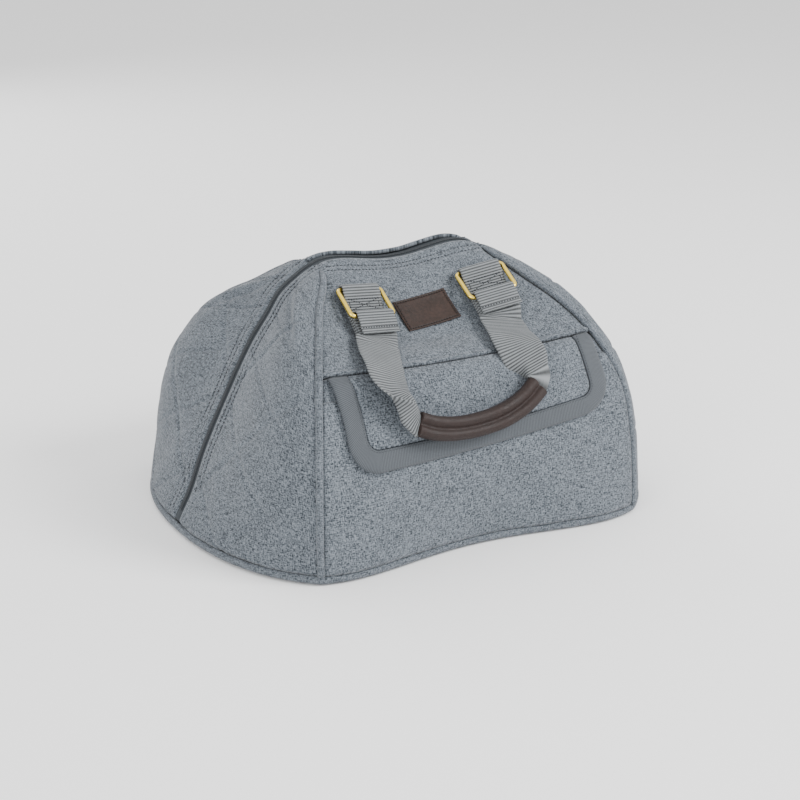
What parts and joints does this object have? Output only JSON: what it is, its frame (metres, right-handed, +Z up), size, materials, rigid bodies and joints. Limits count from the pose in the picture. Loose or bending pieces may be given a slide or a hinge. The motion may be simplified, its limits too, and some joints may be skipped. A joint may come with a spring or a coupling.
{
  "type": "helmet bag",
  "caption": "Soft zip-top bag with a flat base, bell-shaped front and back, quilted wedge ends, a flap pocket and one webbing handle with a padded leather grip on two metal rings.",
  "frame": {"origin": "on the ground under the middle of the bag, midway between the front and back base seams and between the two ends", "axes": "+Z up, +X to the bag's right as seen from the front, front (flap pocket and handle) towards -Y"},
  "size_m": [0.4048, 0.3218, 0.2146],
  "materials": {
    "grey_melange": "brushed wool-like melange cloth",
    "grey_piping": "cloth-covered cord",
    "grey_webbing": "ribbed cotton webbing",
    "dark_tape": "woven zip tape",
    "dark_coil": "fine nylon coil",
    "gold_metal": "polished light gold plating",
    "brown_leather": "soft matt leather"
  },
  "bodies": {
    "root": {"base_panel": "grey_melange", "front_panel": "grey_melange", "front_yoke": "grey_melange", "back_panel": "grey_melange", "front_gusset_left": "grey_melange", "front_gusset_right": "grey_melange", "back_gusset_left": "grey_melange", "back_gusset_right": "grey_melange", "piping_front_left": "grey_piping", "piping_front_right": "grey_piping", "piping_back_left": "grey_piping", "piping_back_right": "grey_piping", "pocket_panel": "grey_melange", "pocket_flap": "grey_melange", "flap_binding": "grey_webbing", "zip_tape": "dark_tape", "zip_coil": "dark_coil", "zip_slider": "gold_metal", "anchor_left": "grey_webbing", "anchor_right": "grey_webbing", "ring_left": "gold_metal", "ring_right": "gold_metal", "strap_left": "grey_webbing", "strap_right": "grey_webbing", "grip": "brown_leather", "label": "brown_leather"}
  },
  "joints": []
}
